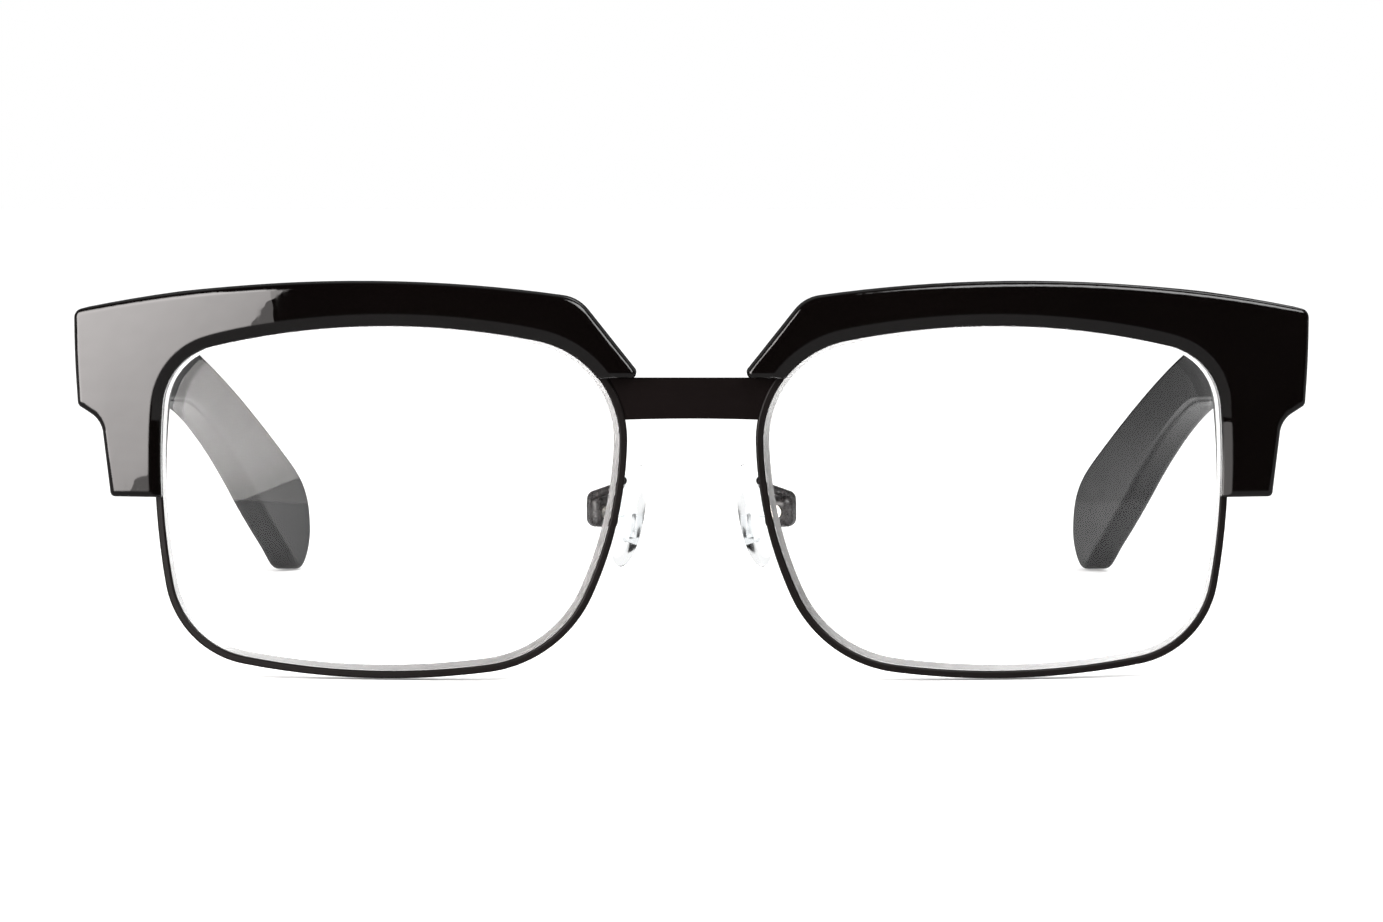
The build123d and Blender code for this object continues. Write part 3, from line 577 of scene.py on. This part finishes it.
def area_light(name, place, width, height, radiance, roll=0.0, colour=WHITE, fade=None):
    """A softbox of this radiance aimed at the centre, turned about its own axis by roll degrees.

    fade is (share of the width, share of the height, dimmest): it dims towards its inner and
    lower edges over those shares.
    """
    data = bpy.data.lights.new(name, "AREA")
    data.shape = "RECTANGLE"
    data.size = width
    data.size_y = height
    data.energy = radiance * math.pi * width * height
    data.color = colour
    light = bpy.data.objects.new(name, data)
    scene.collection.objects.link(light)
    light.location = place
    light.visible_camera = False
    turn = (centre - place).to_track_quat("-Z", "Y").to_matrix()
    light.rotation_euler = (turn @ Matrix.Rotation(math.radians(roll), 3, "Z")).to_euler()
    if fade:
        data.use_nodes = True
        tree = data.node_tree
        emission = tree.nodes["Emission"]
        place_on = tree.nodes.new("ShaderNodeNewGeometry")
        axes = tree.nodes.new("ShaderNodeSeparateXYZ")
        tree.links.new(place_on.outputs["Parametric"], axes.inputs["Vector"])
        across = ranged(tree, axes.outputs["X"], 0.0, fade[0], fade[2], 1.0)
        up = ranged(tree, axes.outputs["Y"], 0.0, fade[1], fade[2], 1.0)
        tree.links.new(product(tree, across, up), emission.inputs["Strength"])


def direction(azimuth, elevation, distance):
    """A place this far from the centre. Azimuth 0 is in front, positive towards +X."""
    a, e = math.radians(azimuth), math.radians(elevation)
    return centre + distance * Vector(
        (math.sin(a) * math.cos(e), -math.cos(a) * math.cos(e), math.sin(e))
    )


area_light(
    "softbox_left",
    direction(-44.1, 11.5, 0.9),
    0.52,
    0.64,
    11.5,
    roll=22,
    colour=WARM,
    fade=(0.12, 0.14, 0.5),
)
area_light("spill_left", direction(-41.8, 4, 1.0), 0.6, 0.5, 2.2, roll=10, colour=WARM)
area_light("softbox_right_top", direction(36, 40, 0.9), 0.62, 0.5, 8.0)
area_light("softbox_back", direction(150, 48, 1.1), 0.5, 0.4, 1.8)


def mirrored(tree):
    """1 for what is seen in a gloss, and 0 for what is seen directly or through glass."""
    path = tree.nodes.new("ShaderNodeLightPath")
    only = tree.nodes.new("ShaderNodeMath")
    only.operation = "SUBTRACT"
    only.use_clamp = True
    tree.links.new(path.outputs["Is Glossy Ray"], only.inputs[0])
    tree.links.new(path.outputs["Is Transmission Ray"], only.inputs[1])
    return only.outputs["Value"]


def floor_finish():
    """A pale floor, painted dimmer in gloss and dimmest far behind, as in a dark room."""
    material, tree, shader = new_material("floor_pale")
    two_tone(tree, shader, noise(tree, 14, 2.0), (0.90, 0.90, 0.90), (0.93, 0.93, 0.93))
    set_on(shader, Roughness=0.9, Specular_IOR_Level=0.1, Emission_Strength=0.14)
    set_on(shader, Emission_Color=(*WHITE, 1))
    place = tree.nodes.new("ShaderNodeTexCoord")
    axes = tree.nodes.new("ShaderNodeSeparateXYZ")
    tree.links.new(place.outputs["Object"], axes.inputs["Vector"])
    # Painted reflection shade: as glossy parts see it, the floor is painted dim, darkest at the front
    # and far behind.
    near = ranged(tree, axes.outputs["Y"], front_y, front_y + 0.05, 0.19, 0.34)
    far = ranged(tree, axes.outputs["Y"], 0.2, 0.42, 1.0, 0.3)
    dim = tree.nodes.new("ShaderNodeBsdfDiffuse")
    tree.links.new(product(tree, near, far), dim.inputs["Color"])
    swap = tree.nodes.new("ShaderNodeMixShader")
    tree.links.new(mirrored(tree), swap.inputs[0])
    tree.links.new(shader.outputs["BSDF"], swap.inputs[1])
    tree.links.new(dim.outputs["BSDF"], swap.inputs[2])
    tree.links.new(swap.outputs["Shader"], tree.nodes["Material Output"].inputs["Surface"])
    return material


FLOOR_HALF_WIDE = 3.0
FLOOR_FRONT = front_y - 0.21
FLOOR_BACK = 4.0
FLOOR_DROP = 0.0002
floor_mesh = bpy.data.meshes.new("floor")
floor_mesh.from_pydata(
    [
        (-FLOOR_HALF_WIDE, FLOOR_FRONT, 0),
        (FLOOR_HALF_WIDE, FLOOR_FRONT, 0),
        (FLOOR_HALF_WIDE, FLOOR_BACK, 0),
        (-FLOOR_HALF_WIDE, FLOOR_BACK, 0),
    ],
    [],
    [(0, 1, 2, 3)],
)
floor_mesh.materials.append(floor_finish())
floor = bpy.data.objects.new("floor", floor_mesh)
floor.location.z = -FLOOR_DROP
scene.collection.objects.link(floor)


def studio_world():
    """White surroundings. In gloss they are dark in front, lighter at the sides and dim far behind."""
    world = bpy.data.worlds.new("studio")
    world.use_nodes = True
    tree = world.node_tree
    background = tree.nodes["Background"]
    background.inputs["Color"].default_value = (*WHITE, 1)
    facing = tree.nodes.new("ShaderNodeTexCoord")
    axes = tree.nodes.new("ShaderNodeSeparateXYZ")
    tree.links.new(facing.outputs["Generated"], axes.inputs["Vector"])
    room = ranged(tree, axes.outputs["Y"], -0.12, 0.22, 0.01, 0.28)
    far_wall = ranged(tree, axes.outputs["Y"], 0.8, 0.97, 1.0, 0.15)
    choose = tree.nodes.new("ShaderNodeMix")
    choose.data_type = "FLOAT"
    choose.inputs[2].default_value = 1.0
    tree.links.new(mirrored(tree), choose.inputs[0])
    tree.links.new(product(tree, room, far_wall), choose.inputs[3])
    tree.links.new(choose.outputs[0], background.inputs["Strength"])
    return world


scene.world = studio_world()
scene.view_settings.view_transform = "Standard"

# ---------------------------------------------------------------- camera
CAMERA_PLACE = Vector((0, -0.5707, 0.06154))
CAMERA_AIM = Vector((0, -0.0707, 0.02574))
camera_data = bpy.data.cameras.new("camera")
camera_data.lens = 113.0
camera_data.sensor_width = 36.0
camera_data.clip_start = 0.01
camera = bpy.data.objects.new("camera", camera_data)
scene.collection.objects.link(camera)
camera.location = CAMERA_PLACE
camera.rotation_euler = (CAMERA_AIM - CAMERA_PLACE).to_track_quat("-Z", "Y").to_euler()
scene.camera = camera
